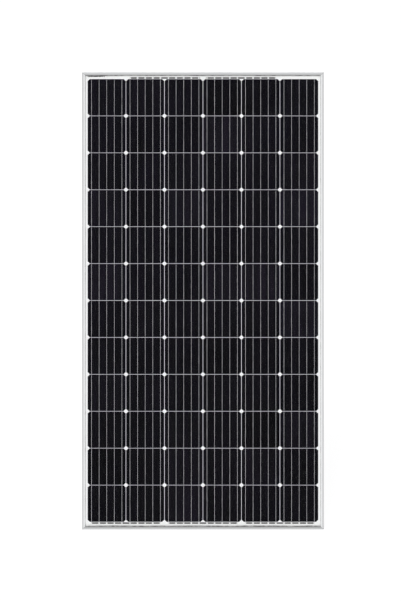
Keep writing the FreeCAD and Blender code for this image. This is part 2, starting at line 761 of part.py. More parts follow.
def terminal(index):
    """Tinned plate with posts for the diode leads and, at the ends, a crimp."""
    x = TERMINAL_X[index]
    plate_y = (TERMINAL_FRONT_Y, TERMINAL_REAR_Y)
    parts = [box(around(x, TERMINAL_HALF), plate_y, TERMINAL_Z)]
    post_y = (TERMINAL_REAR_Y, DIODE_Y - DIODE_LEAD_R)
    last = len(TERMINAL_X) - 1
    sides = [sign for sign in (-1, 1) if 0 <= index + sign <= last]
    for sign in sides:
        post_x = around(x + sign * POST_OFFSET, POST_HALF)
        parts.append(box(post_x, post_y, around(DIODE_Z, POST_DEPTH / 2)))
    solid = joined(parts)
    if index in (0, last):
        axis_y = TERMINAL_REAR_Y + CRIMP_R - CRIMP_SINK
        solid = joined([solid, rod_z(CRIMP_R, x, axis_y, CRIMP_Z)])
        solid = solid.cut(rod_z(CRIMP_BORE, x, axis_y, (CRIMP_Z[0] - CLEAR, CRIMP_Z[1] + CLEAR)))
    return solid


def bypass_diode(index):
    """Moulded cylinder lying between two terminals, with a lead each side."""
    x = (TERMINAL_X[index] + TERMINAL_X[index + 1]) / 2
    body = rod_x(DIODE_R, around(x, DIODE_LENGTH / 2), DIODE_Y, DIODE_Z)
    leads = rod_x(DIODE_LEAD_R, around(x, DIODE_LEAD_REACH), DIODE_Y, DIODE_Z)
    return joined([body, leads])


def gland_seal(x):
    top = JBOX_BOTTOM_Z - SPIGOT_LENGTH + SEAL_POCKET_DEPTH
    span = (top - SEAL_LENGTH, top)
    ring = rod_z(SEAL_POCKET_R, x, GLAND_Y, span)
    return ring.cut(rod_z(SEAL_BORE_R, x, GLAND_Y, span))


def gland_nut(x):
    """Hexagonal cap nut over the spigot, open for the cable."""
    low = JBOX_BOTTOM_Z - SPIGOT_LENGTH - NUT_GAP - NUT_CAP
    span = (low, low + NUT_LENGTH)
    corner = NUT_FLATS_R * 2 / 3 ** 0.5
    half = NUT_FLATS_R
    outline = [
        (corner, 0), (corner / 2, half), (-corner / 2, half),
        (-corner, 0), (-corner / 2, -half), (corner / 2, -half),
    ]
    solid = along_z([(x + u, GLAND_Y + v) for u, v in outline], span)
    dome = Part.makeCone(half, corner + CLEAR, NUT_DOME, Vector(x, GLAND_Y, low), Vector(0, 0, 1))
    shank = rod_z(corner + CLEAR, x, GLAND_Y, (low + NUT_DOME, span[1]))
    solid = solid.common(joined([dome, shank]))
    cavity = rod_z(NUT_BORE_R, x, GLAND_Y, (low + NUT_CAP, span[1] + CLEAR))
    mouth = rod_z(NUT_MOUTH_R, x, GLAND_Y, (low - CLEAR, low + NUT_CAP + CLEAR))
    return without(solid, [cavity, mouth])


# ---- all nodes ----------------------------------------------------------
def frame_nodes():
    nodes = {}
    for name, sign in SIDES.items():
        nodes["frame_rail_" + name] = side_rail(sign)
        nodes["edge_sealant_" + name] = side_sweep(sign, sealant_outline()).common(side_wedge(sign))
    for name, sign in ENDS.items():
        nodes["frame_rail_" + name] = end_rail(sign)
        nodes["edge_sealant_" + name] = end_sweep(sign, sealant_outline()).common(end_wedge(sign))
    for end, z_sign in ENDS.items():
        for side, x_sign in SIDES.items():
            nodes["corner_key_" + end + "_" + side] = corner_key(x_sign, z_sign)
    return nodes


def circuit_nodes():
    nodes = {}
    for column in range(1, COLUMNS + 1):
        nodes["cell_string_%d" % column] = cell_string(column)
        nodes["tabbing_ribbons_%d" % column] = tabbing_ribbons(column)
    for left in (1, 3, 5):
        nodes["bus_ribbon_bottom_%d_%d" % (left, left + 1)] = bus_bottom(left)
    nodes["bus_ribbon_top_2_3"] = bus_top(2, TERMINAL_X[1])
    nodes["bus_ribbon_top_4_5"] = bus_top(4, TERMINAL_X[2])
    nodes["lead_out_string_1"] = lead_out(1, TERMINAL_X[0])
    nodes["lead_out_string_6"] = lead_out(6, TERMINAL_X[3])
    nodes["insulation_strip"] = insulation_strip()
    nodes["insulation_patch"] = insulation_patch()
    return nodes


def sheet_nodes(circuit):
    buried = [shape for name, shape in circuit.items()
              if name.startswith(("bus_", "lead_", "insulation_"))]
    return {
        "front_glass": sheet(GLASS_FRONT_Y, GLASS_REAR_Y),
        "front_encapsulant": front_encapsulant(),
        "rear_encapsulant": rear_encapsulant(buried),
        "backsheet": backsheet(),
        "serial_label": serial_label(),
        "rating_label": rating_label(),
    }


def jbox_nodes():
    nodes = {
        "jbox_base": jbox_base(),
        "jbox_adhesive": jbox_adhesive(),
        "jbox_lid": jbox_lid(),
        "jbox_lid_gasket": jbox_gasket(),
        "jbox_hinge_pins": hinge_pins(),
    }
    for index in range(len(TERMINAL_X)):
        nodes["terminal_%d" % (index + 1)] = terminal(index)
    for index in range(len(TERMINAL_X) - 1):
        nodes["bypass_diode_%d" % (index + 1)] = bypass_diode(index)
    for name, x in zip(("left", "right"), GLAND_X):
        nodes["gland_seal_" + name] = gland_seal(x)
        nodes["gland_nut_" + name] = gland_nut(x)
    return nodes


def main():
    os.makedirs("parts", exist_ok=True)
    circuit = circuit_nodes()
    nodes = {}
    nodes.update(frame_nodes())
    nodes.update(circuit)
    nodes.update(sheet_nodes(circuit))
    nodes.update(jbox_nodes())
    for name, shape in nodes.items():
        shape.exportStep("parts/%s.step" % name)


main()
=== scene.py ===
import math
import random

import bmesh
import bpy
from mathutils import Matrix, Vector


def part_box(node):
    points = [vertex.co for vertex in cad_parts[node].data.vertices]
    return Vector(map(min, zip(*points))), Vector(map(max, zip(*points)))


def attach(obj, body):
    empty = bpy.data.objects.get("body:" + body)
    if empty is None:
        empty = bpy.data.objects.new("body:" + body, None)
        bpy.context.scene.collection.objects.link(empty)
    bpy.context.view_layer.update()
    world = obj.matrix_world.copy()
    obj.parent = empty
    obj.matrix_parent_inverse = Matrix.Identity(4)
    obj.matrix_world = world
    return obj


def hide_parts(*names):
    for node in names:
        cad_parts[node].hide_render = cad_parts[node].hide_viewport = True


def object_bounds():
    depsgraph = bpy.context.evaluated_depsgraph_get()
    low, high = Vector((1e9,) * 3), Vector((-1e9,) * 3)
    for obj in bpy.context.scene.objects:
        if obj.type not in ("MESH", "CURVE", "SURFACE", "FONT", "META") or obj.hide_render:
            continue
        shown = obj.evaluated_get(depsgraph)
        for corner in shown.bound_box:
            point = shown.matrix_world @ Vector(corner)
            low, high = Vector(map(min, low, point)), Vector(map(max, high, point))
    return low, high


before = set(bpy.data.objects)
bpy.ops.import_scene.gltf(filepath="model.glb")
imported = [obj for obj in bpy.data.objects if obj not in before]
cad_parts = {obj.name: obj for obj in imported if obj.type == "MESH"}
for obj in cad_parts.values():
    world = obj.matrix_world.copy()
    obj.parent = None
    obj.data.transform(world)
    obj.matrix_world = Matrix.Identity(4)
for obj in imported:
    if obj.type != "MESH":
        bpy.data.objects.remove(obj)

CAD_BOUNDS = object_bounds()

# Looks of a framed 72-cell solar panel. Metres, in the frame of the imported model:
# +Z up along the long side, glass facing -Y, rear mounting plane at y = 0.
MM = 0.001
TOUCHING = 0.001 * MM           # closer than this counts as the same place

# ---- the cell grid ------------------------------------------------------
COLUMNS = 6
ROWS = 12
CELL_PITCH = 158 * MM
CELL_SIZE = 156 * MM
CELL_CHAMFER = 8.5 * MM
BUSBARS = 5
BUSBAR_PITCH = 31.2 * MM
BUS_WIDTH = 6.0 * MM

# ---- printed silver fingers ---------------------------------------------
FINGER_PITCH = 1.7 * MM
FINGER_WIDTH = 0.09 * MM
FINGER_HEIGHT = 0.02 * MM
FINGER_MARGIN = 1.2 * MM        # from the cell's edge to the ends of its fingers

# ---- drops of solder ----------------------------------------------------
SOLDER_SEED = 7
SOLDER_RISE = 0.35 * MM
SOLDER_HALF_WIDTH = (3.5, 4.8)  # least and most, in millimetres
SOLDER_HALF_HEIGHT = (2.3, 2.9)

# ---- glass --------------------------------------------------------------
GLASS_TINT = (0.996, 0.998, 0.998, 1)
GLASS_GLOSS = (0.001, 0.35)     # share of light reflected: seen square on, and at a glance
GLASS_CLEARANCE = 0.02 * MM     # kept free behind the pane
GLASS_ARRIS = 0.8 * MM
FACES_REAR = 0.1                # a face whose normal has more +Y than this faces the rear

# ---- frame lip ----------------------------------------------------------
LIP_WIDTH = 12 * MM
LIP_FACE_DEPTH = 0.7 * MM
LIP_PAINTED_SHADING = {                   # painted light and shade on the front lip, from its outer edge to its tip
    "side": [(0.0, 0.64), (0.30, 0.67), (0.45, 0.77), (0.62, 0.98), (1.0, 1.0)],
    "top": [(0.0, 0.50), (0.08, 0.70), (0.40, 0.75), (0.75, 0.625), (1.0, 0.46)],
    "bottom": [(0.0, 0.54), (0.08, 0.73), (0.40, 0.69), (0.75, 0.46), (1.0, 0.39)],
}
PLAIN_TONE = 0.80               # everywhere else on the rails
MITRE_LINE = 0.6 * MM           # half the width of the dark line in a corner joint
MITRE_TONE = 0.25
DRAWN_STRETCH = 0.006           # how much the marks of the extruding die are drawn out

# ---- sealant ------------------------------------------------------------
# widths of the sliver on the glass beyond each lip's tip, painted dark as shade along the lip
SHADE_SLIVER_WIDTH = {"left": 1.2 * MM, "right": 1.2 * MM, "top": 3.8 * MM, "bottom": 4.1 * MM}
SLIVER_RISE = 0.7 * MM          # the sliver on the glass: at its middle, and at its edge
SLIVER_EDGE = 0.05 * MM
SHELF_GAP = 0.8 * MM
BEAD_STEPS = {0: 80, 2: 150}    # by the axis that the bead runs along
BEAD_WAVES = 5
BEAD_WAVE_PITCH = (12, 54)      # radians per metre
BEAD_ROUND = (0.80, 0.42)       # where the rounded rear of the bead turns, as shares of its size

# ---- junction box -------------------------------------------------------
LID_FACE_DEPTH = 7.0 * MM       # from the front edge of the lid's skirt to its outer face
DIODE_HALF_LENGTH = 4.52 * MM   # the moulded body, without its leads
DIODE_RING = (-3.7 * MM, -2.3 * MM)
BOX_EDGE = 0.5 * MM             # rounding of the moulded edges
NUT_EDGE = 0.4 * MM
MARK_ARM = 3.2 * MM             # the plus and minus signs
MARK_HALF_LINE = 0.9 * MM
MARK_RISE = 0.35 * MM
MARK_HEIGHT = 10 * MM           # above the lid's lower edge

# ---- camera -------------------------------------------------------------
CAMERA_ELEVATION = 16.4         # degrees above level: the picture looks slightly down
CAMERA_DISTANCE = 7.0
CAMERA_CLIP_END = 500.0
CAMERA_SIDE_OFFSET = -10 * MM   # the object stands a little right of the middle
PICTURE_HEIGHT = 2.467          # metres from the bottom to the top of the picture

# ---- stage --------------------------------------------------------------
FLOOR_HALF = 90.0
FLOOR_GAP = 0.5 * MM
FLOOR_TONE = 0.30
FLOOR_GLOW = 0.80
WALL_LIGHT = 0.35               # how brightly the white walls light the object

# ---- tints, as shares of red, green and blue ----------------------------
NEUTRAL = (1, 1, 1)
COOL = (0.99, 1.0, 1.01)
LAVENDER = (0.99, 0.97, 1.03)
CREAM = (1, 1, 0.995)
IVORY = (1, 1, 0.985)
PAPER = (1, 1, 0.98)
BLUISH = (1, 1, 1.03)
NOISE_SPREAD = (0.3, 0.7)       # nearly all of a noise texture's values lie in here


# ==== node helpers =======================================================
def new_material(name):
    """Empty node-based material."""
    material = bpy.data.materials.new(name)
    material.use_nodes = True
    material.node_tree.nodes.clear()
    return material


def add_node(tree, kind, inputs=None, **settings):
    """New shader node; inputs sets its sockets, and keywords its properties."""
    node = tree.nodes.new(kind)
    for key, value in settings.items():
        setattr(node, key, value)
    for key, value in (inputs or {}).items():
        node.inputs[key].default_value = value
    return node


def link(tree, source, target):
    """Join an output socket to an input socket."""
    tree.links.new(source, target)


def principled(tree, **inputs):
    """Principled shader wired to the output; keywords use _ for spaces."""
    shader = add_node(tree, "ShaderNodeBsdfPrincipled")
    for key, value in inputs.items():
        shader.inputs[key.replace("_", " ")].default_value = value
    output = add_node(tree, "ShaderNodeOutputMaterial")
    link(tree, shader.outputs["BSDF"], output.inputs["Surface"])
    return shader


def feed(tree, shader, **sources):
    """Link sockets to a shader's inputs; keywords use _ for spaces."""
    for key, source in sources.items():
        link(tree, source, shader.inputs[key.replace("_", " ")])


def place(tree, scale=(1, 1, 1)):
    """Object coordinates in metres, scaled per axis."""
    coordinates = add_node(tree, "ShaderNodeTexCoord")
    mapping = add_node(tree, "ShaderNodeMapping", inputs={"Scale": scale})
    link(tree, coordinates.outputs["Object"], mapping.inputs["Vector"])
    return mapping.outputs["Vector"]


def noise(tree, scale, detail=3.0, stretch=(1, 1, 1)):
    """Noise texture over the object; the scale is in waves per metre."""
    texture = add_node(
        tree, "ShaderNodeTexNoise", inputs={"Scale": scale, "Detail": detail, "Roughness": 0.55})
    link(tree, place(tree, stretch), texture.inputs["Vector"])
    return texture.outputs["Fac"]


def random_number(tree, *parts):
    """Random number from 0 to 1 for one or two whole numbers."""
    pair = add_node(tree, "ShaderNodeCombineXYZ")
    for index, part in enumerate(parts):
        link(tree, part, pair.inputs[index])
    dice = add_node(tree, "ShaderNodeTexWhiteNoise", noise_dimensions="2D")
    link(tree, pair.outputs["Vector"], dice.inputs["Vector"])
    return dice.outputs["Value"]


def grey(value, tint=NEUTRAL):
    """Grey of a linear value, slightly tinted."""
    return (value * tint[0], value * tint[1], value * tint[2], 1)


def ramp(tree, factor, stops):
    """Colour ramp; stops are (position, colour)."""
    node = add_node(tree, "ShaderNodeValToRGB")
    elements = node.color_ramp.elements
    while len(elements) < len(stops):
        elements.new(0.5)
    for element, (position, colour) in zip(elements, stops):
        element.position = position
        element.color = colour
    link(tree, factor, node.inputs["Fac"])
    return node.outputs["Color"]


def tones(tree, factor, low, high, spread=NOISE_SPREAD):
    """Colour that runs from one colour to another over the spread of a noise."""
    return ramp(tree, factor, [(spread[0], low), (spread[1], high)])


def map_range(tree, value, from_range, to_range):
    """Number moved from one range to another, and held inside it."""
    node = add_node(tree, "ShaderNodeMapRange", clamp=True)
    node.inputs["From Min"].default_value = from_range[0]
    node.inputs["From Max"].default_value = from_range[1]
    node.inputs["To Min"].default_value = to_range[0]
    node.inputs["To Max"].default_value = to_range[1]
    link(tree, value, node.inputs["Value"])
    return node.outputs["Result"]


def vary(tree, factor, low, high, spread=NOISE_SPREAD):
    """Number that runs from low to high over the spread of a noise."""
    return map_range(tree, factor, spread, (low, high))


def math_node(tree, operation, first, second=None):
    """Math node; each operand is a socket or a number."""
    node = add_node(tree, "ShaderNodeMath", operation=operation)
    for index, operand in enumerate((first, second)):
        if operand is None:
            continue
        if isinstance(operand, (int, float)):
            node.inputs[index].default_value = operand
        else:
            link(tree, operand, node.inputs[index])
    return node.outputs["Value"]


def mix_colour(tree, factor, first, second, blend="MIX"):
    """Mix two colours; each is a socket or a constant, and so is the factor."""
    node = add_node(tree, "ShaderNodeMix", data_type="RGBA", blend_type=blend)
    for index, value in ((0, factor), (6, first), (7, second)):
        if isinstance(value, (int, float, tuple)):
            node.inputs[index].default_value = value
        else:
            link(tree, value, node.inputs[index])
    return node.outputs[2]


def shaded(tree, colour, shade):
    """A colour multiplied by another colour or number."""
    return mix_colour(tree, 1.0, colour, shade, "MULTIPLY")


def split_position(tree):
    """Object x, y, z in metres as three sockets."""
    coordinates = add_node(tree, "ShaderNodeTexCoord")
    split = add_node(tree, "ShaderNodeSeparateXYZ")
    link(tree, coordinates.outputs["Object"], split.inputs["Vector"])
    return split.outputs["X"], split.outputs["Y"], split.outputs["Z"]


def inside_by(tree, value, limit):
    """How far a coordinate lies inside plus or minus the limit."""
    return math_node(tree, "SUBTRACT", limit, math_node(tree, "ABSOLUTE", value))


def between(tree, value, low, high):
    """1 where low < value < high; the limits are numbers or sockets."""
    above = math_node(tree, "GREATER_THAN", value, low)
    below = math_node(tree, "LESS_THAN", value, high)
    return math_node(tree, "MULTIPLY", above, below)


def patch(tree, across, up, span, rise):
    """1 inside a rectangle."""
    return math_node(tree, "MULTIPLY", between(tree, across, *span), between(tree, up, *rise))


def add_bump(tree, shader, height, strength, distance):
    """Relief on a shader; the distance is in metres."""
    bump = add_node(tree, "ShaderNodeBump", inputs={"Strength": strength, "Distance": distance})
    link(tree, height, bump.inputs["Height"])
    link(tree, bump.outputs["Normal"], shader.inputs["Normal"])


# ==== materials of the frame and the laminate ============================
def anodised_aluminium(name, along, lip_painted_shading):
    """Clear-anodised extrusion, drawn along axis 'along' (0 = x, 2 = z).

    The last argument is painted light and shade on the front lip, from its outer edge to its tip."""
    material = new_material(name)
    tree = material.node_tree
    shader = principled(tree, Metallic=0.72)
    stretch = [1.0, 1.0, 1.0]
    stretch[along] = DRAWN_STRETCH
    lines = noise(tree, scale=1400.0, detail=2.0, stretch=tuple(stretch))
    patches = noise(tree, scale=7.0, detail=4.0)
    fine = tones(tree, lines, grey(0.81, COOL), grey(0.93, COOL), spread=(0.25, 0.75))
    broad = tones(tree, patches, grey(0.82, COOL), grey(0.93, COOL))
    base = mix_colour(tree, 0.35, fine, broad)
    x, y, z = split_position(tree)
    from_side = inside_by(tree, x, CAD_BOUNDS[1].x)
    from_end = inside_by(tree, z, CAD_BOUNDS[1].z)
    inward = map_range(tree, from_side if along == 2 else from_end, (0, LIP_WIDTH), (0, 1))
    # painted light and shade across the front lip, lighter or darker from its outer edge to its tip
    tone = ramp(tree, inward, [(position, grey(value)) for position, value in lip_painted_shading])
    on_lip = math_node(tree, "LESS_THAN", y, CAD_BOUNDS[0].y + LIP_FACE_DEPTH)
    tone = mix_colour(tree, on_lip, grey(PLAIN_TONE), tone)
    off_mitre = math_node(tree, "ABSOLUTE", math_node(tree, "SUBTRACT", from_side, from_end))
    joint = map_range(tree, off_mitre, (0.4 * MITRE_LINE, MITRE_LINE), (MITRE_TONE, 1.0))
    tone = shaded(tree, tone, joint)
    feed(tree, shader, Base_Color=shaded(tree, base, tone),
         Roughness=vary(tree, lines, 0.36, 0.50, spread=(0.2, 0.8)))
    add_bump(tree, shader, lines, strength=0.25, distance=0.02 * MM)
    return material


def mill_aluminium():
    """Bare drawn aluminium of the corner keys."""
    material = new_material("mill_aluminium")
    tree = material.node_tree
    shader = principled(tree, Metallic=0.9)
    cloud = noise(tree, scale=500.0, stretch=(1, 1, 0.05))
    feed(tree, shader, Base_Color=tones(tree, cloud, grey(0.5), grey(0.68)),
         Roughness=vary(tree, cloud, 0.35, 0.55))
    return material


def solar_glass():
    """Anti-reflective glass: clear, with a weak gloss that grows at grazing angles."""
    material = new_material("solar_glass")
    tree = material.node_tree
    clear = add_node(tree, "ShaderNodeBsdfTransparent", inputs={"Color": GLASS_TINT})
    gloss = add_node(tree, "ShaderNodeBsdfGlossy", inputs={"Color": grey(1.0), "Roughness": 0.22})
    facing = add_node(tree, "ShaderNodeLayerWeight", inputs={"Blend": 0.5})
    grazing = math_node(tree, "POWER", facing.outputs["Facing"], 3.0)
    mix = add_node(tree, "ShaderNodeMixShader")
    link(tree, map_range(tree, grazing, (0, 1), GLASS_GLOSS), mix.inputs["Fac"])
    link(tree, clear.outputs["BSDF"], mix.inputs[1])
    link(tree, gloss.outputs["BSDF"], mix.inputs[2])
    output = add_node(tree, "ShaderNodeOutputMaterial")
    link(tree, mix.outputs["Shader"], output.inputs["Surface"])
    add_bump(tree, gloss, noise(tree, scale=25.0, detail=2.0), strength=0.3, distance=0.05 * MM)
    return material


def bonded_glass():
    """Rear of the pane, where the clear sheet behind it leaves no reflection."""
    material = new_material("bonded_glass")
    tree = material.node_tree
    clear = add_node(tree, "ShaderNodeBsdfTransparent", inputs={"Color": GLASS_TINT})
    output = add_node(tree, "ShaderNodeOutputMaterial")
    link(tree, clear.outputs["BSDF"], output.inputs["Surface"])
    return material


def silicon_cell():
    """Near-black textured silicon: a tint of its own for every cell, faint clouds and streaks."""
    material = new_material("silicon_cell")
    tree = material.node_tree
    shader = principled(tree, Specular_IOR_Level=0.03)
    x, _, z = split_position(tree)
    column = math_node(tree, "FLOOR", math_node(tree, "DIVIDE", x, CELL_PITCH))
    row = math_node(tree, "FLOOR", math_node(tree, "DIVIDE", z, CELL_PITCH))
    tint = ramp(tree, random_number(tree, column, row), [
        (0.0, (0.0008, 0.0006, 0.0018, 1)),
        (0.35, (0.0017, 0.0014, 0.0034, 1)),
        (0.65, (0.0022, 0.0019, 0.0038, 1)),
        (1.0, (0.0052, 0.0043, 0.0080, 1)),
    ])
    tint = shaded(tree, tint, vary(tree, noise(tree, scale=9.0), 0.75, 1.25))
    # painted light: the cells are painted lighter towards the top of the panel
    half_height = 0.95
    tint = shaded(tree, tint, map_range(tree, z, (-half_height, half_height), (0.85, 1.3)))
    streak = noise(tree, scale=70.0, stretch=(1, 1, 0.03))
    greenish = (0.72, 0.86, 0.74, 1)
    violet = (1.32, 1.18, 1.36, 1)
    tint = shaded(tree, tint, tones(tree, streak, greenish, violet, spread=(0.35, 0.65)))
    grain = noise(tree, scale=2500.0, detail=2.0)
    feed(tree, shader, Base_Color=tint, Roughness=vary(tree, grain, 0.42, 0.58))
    return material


def silver_finger():
    """Printed silver paste, too thin to look bright."""
    material = new_material("silver_finger")
    tree = material.node_tree
    shader = principled(tree, Metallic=0.3, Roughness=0.6)
    wear = noise(tree, scale=220.0)
    feed(tree, shader, Base_Color=tones(tree, wear, grey(0.016), grey(0.030)))
    return material


def tinned_ribbon():
    """Bright tinned strip with slight dips and ripples from soldering."""
    material = new_material("tinned_ribbon")
    tree = material.node_tree
    shader = principled(tree, Metallic=0.5)
    ripple = noise(tree, scale=160.0, detail=4.0, stretch=(1, 1, 0.25))
    feed(tree, shader, Base_Color=tones(tree, ripple, grey(0.50, LAVENDER), grey(0.78, LAVENDER)),
         Roughness=vary(tree, ripple, 0.5, 0.3))
    add_bump(tree, shader, ripple, strength=0.4, distance=0.05 * MM)
    return material


def solder_metal():
    """Frozen solder: brighter and more scattering than the flat ribbon."""
    material = new_material("solder")
    tree = material.node_tree
    shader = principled(tree, Metallic=0.2, Roughness=0.5)
    frost = noise(tree, scale=500.0, detail=4.0)
    feed(tree, shader, Base_Color=tones(tree, frost, grey(0.80), grey(0.95)))
    add_bump(tree, shader, frost, strength=0.4, distance=0.08 * MM)
    return material


def bus_ribbon():
    """Connecting ribbon: dull grey behind the glass, bare tin where it leaves the rear."""
    material = new_material("bus_ribbon")
    tree = material.node_tree
    shader = principled(tree, Metallic=0.6, Roughness=0.5)
    smear = noise(tree, scale=240.0, stretch=(0.3, 1, 1))
    dull = tones(tree, smear, grey(0.035), grey(0.075))
    bare = tones(tree, smear, grey(0.58), grey(0.74))
    _, y, _ = split_position(tree)
    behind = math_node(tree, "GREATER_THAN", y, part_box("backsheet")[1].y)
    feed(tree, shader, Base_Color=mix_colour(tree, behind, dull, bare))
    add_bump(tree, shader, smear, strength=0.3, distance=0.05 * MM)
    return material


def backsheet():
    """White film with orange-peel grain.

    On the rear the cells print through very faintly. In front, the film in the narrow gaps
    between cells is painted darker and violet, as painted shade between the cells."""
    material = new_material("backsheet")
    tree = material.node_tree
    shader = principled(tree, Roughness=0.48, Specular_IOR_Level=0.35)
    x, y, z = split_position(tree)
    half_gap = 0.5 * (1 - CELL_SIZE / CELL_PITCH)
    inside = []
    for axis in (x, z):
        turn = math_node(tree, "FRACT", math_node(tree, "DIVIDE", axis, CELL_PITCH))
        from_edge = math_node(tree, "PINGPONG", turn, 0.5)
        inside.append(math_node(tree, "GREATER_THAN", from_edge, half_gap))
    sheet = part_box("backsheet")
    rear = math_node(tree, "GREATER_THAN", y, (sheet[0].y + sheet[1].y) / 2)
    front = math_node(tree, "SUBTRACT", 1.0, rear)
    cells = math_node(tree, "MULTIPLY", rear, math_node(tree, "MULTIPLY", *inside))
    one_gap = math_node(tree, "ABSOLUTE", math_node(tree, "SUBTRACT", *inside))
    half_width = COLUMNS * CELL_PITCH / 2
    half_height = ROWS * CELL_PITCH / 2
    field = patch(tree, x, z, (-half_width, half_width), (-half_height, half_height))
    gap_shade_mask = math_node(tree, "MULTIPLY", front, math_node(tree, "MULTIPLY", field, one_gap))
    mottle = noise(tree, scale=14.0, detail=4.0)
    white = tones(tree, mottle, grey(0.90, CREAM), grey(0.92, CREAM))
    cell_shadow = (0.70, 0.72, 0.76, 1)
    # painted shade in the narrow gaps between cells, seen from the front
    gap_painted_shade = (0.80, 0.77, 0.86, 1)
    colour = mix_colour(tree, math_node(tree, "MULTIPLY", cells, 0.12), white, cell_shadow)
    colour = mix_colour(tree, gap_shade_mask, colour, gap_painted_shade)
    feed(tree, shader, Base_Color=colour)
    peel = noise(tree, scale=700.0, detail=2.0)
    height = math_node(tree, "ADD", math_node(tree, "MULTIPLY", cells, 0.8), peel)
    add_bump(tree, shader, height, strength=0.25, distance=0.12 * MM)
    return material


def silicone():
    """Cured white silicone; the sliver on the glass beyond the lip's tip is painted dark, as painted
    shade along the lip.
    """
    material = new_material("silicone_sealant")
    tree = material.node_tree
    shader = principled(tree)
    skin = noise(tree, scale=90.0, detail=4.0)
    clean = tones(tree, skin, grey(0.74), grey(0.84, IVORY))
    # painted shade: the sliver on the glass is painted dark grey, mottled
    shade_mottle = noise(tree, scale=62.0)
    sliver_painted_shade = tones(tree, shade_mottle, grey(0.04), grey(0.32), spread=(0.38, 0.62))
    _, y, _ = split_position(tree)
    on_glass = math_node(tree, "LESS_THAN", y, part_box("front_glass")[0].y - TOUCHING)
    feed(tree, shader, Base_Color=mix_colour(tree, on_glass, clean, sliver_painted_shade),
         Roughness=vary(tree, skin, 0.34, 0.52))
    add_bump(tree, shader, skin, strength=0.3, distance=0.5 * MM)
    return material


def plain_film(name, low, high):
    """Insulating film with faint clouds."""
    material = new_material(name)
    tree = material.node_tree
    shader = principled(tree, Roughness=0.6)
    feed(tree, shader, Base_Color=tones(tree, noise(tree, scale=60.0), grey(low), grey(high)))
    return material


# ==== materials of the junction box ======================================
def moulded_plastic(name, level, scale=1500.0, roughness=0.55):
    """Dark moulding with a spark-eroded grain."""
    material = new_material(name)
    tree = material.node_tree
    shader = principled(tree)
    grain = noise(tree, scale)
    cloud = noise(tree, scale=30.0)
    feed(tree, shader, Base_Color=tones(tree, cloud, grey(level), grey(level * 1.5, BLUISH)),
         Roughness=vary(tree, grain, roughness - 0.1, roughness + 0.1))
    add_bump(tree, shader, grain, strength=0.45, distance=0.06 * MM)
    return material


def bare_metal(name, low, high, metallic, stretch):
    """Steel or tinned sheet, streaked along the axis with the smallest stretch."""
    material = new_material(name)
    tree = material.node_tree
    shader = principled(tree, Metallic=metallic)
    streak = noise(tree, scale=600.0, stretch=stretch)
    feed(tree, shader, Base_Color=tones(tree, streak, grey(low), grey(high)),
         Roughness=vary(tree, streak, 0.28, 0.45))
    return material


def diode(node):
    """Black diode with a light ring at its cathode end and bare leads."""
    low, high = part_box(node)
    material = new_material(node)
    tree = material.node_tree
    shader = principled(tree, Roughness=0.35)
    x, _, _ = split_position(tree)
    along = math_node(tree, "SUBTRACT", x, (low.x + high.x) / 2)
    body = between(tree, along, -DIODE_HALF_LENGTH, DIODE_HALF_LENGTH)
    ring = between(tree, along, *DIODE_RING)
    grain = noise(tree, scale=800.0)
    black = tones(tree, grain, grey(0.015), grey(0.03))
    silver = tones(tree, grain, grey(0.55), grey(0.68))
    body_tone = mix_colour(tree, ring, black, silver)
    feed(tree, shader, Base_Color=mix_colour(tree, body, silver, body_tone),
         Metallic=map_range(tree, body, (0, 1), (0.85, 0.0)))
    add_bump(tree, shader, grain, strength=0.2, distance=0.03 * MM)
    return material


# ==== printed labels =====================================================
def bar_block(tree, across, up, span, rise, bar, blank_share):
    """Upright bars of random spacing inside a rectangle."""
    number = math_node(tree, "FLOOR", math_node(tree, "DIVIDE", across, bar))
    bars = math_node(tree, "GREATER_THAN", random_number(tree, number), blank_share)
    return math_node(tree, "MULTIPLY", bars, patch(tree, across, up, span, rise))


def printed_paper(name, node, marks, ink):
    """Paper label; marks(tree, across, up, width, height) returns the printed areas.

    Across and up run in metres from the label's lower corner, as read from its front."""
    low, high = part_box(node)
    material = new_material(name)
    tree = material.node_tree
    shader = principled(tree, Roughness=0.5)
    x, _, z = split_position(tree)
    read_from_rear = low.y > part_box("backsheet")[0].y
    if read_from_rear:
        across = math_node(tree, "SUBTRACT", high.x, x)
    else:
        across = math_node(tree, "SUBTRACT", x, low.x)
    up = math_node(tree, "SUBTRACT", z, low.z)
    printed = None
    for area in marks(tree, across, up, high.x - low.x, high.z - low.z):
        printed = area if printed is None else math_node(tree, "MAXIMUM", printed, area)
    fibre = noise(tree, scale=300.0)
    paper = tones(tree, fibre, grey(0.82, PAPER), grey(0.87, PAPER))
    feed(tree, shader, Base_Color=mix_colour(tree, printed, paper, grey(ink)))
    return material


def serial_marks(tree, across, up, width, height):
    """One row of bars over the whole strip."""
    margin = 0.06 * height
    return [bar_block(tree, across, up, (0, width), (margin, height - margin),
                      bar=1.2 * MM, blank_share=0.13)]


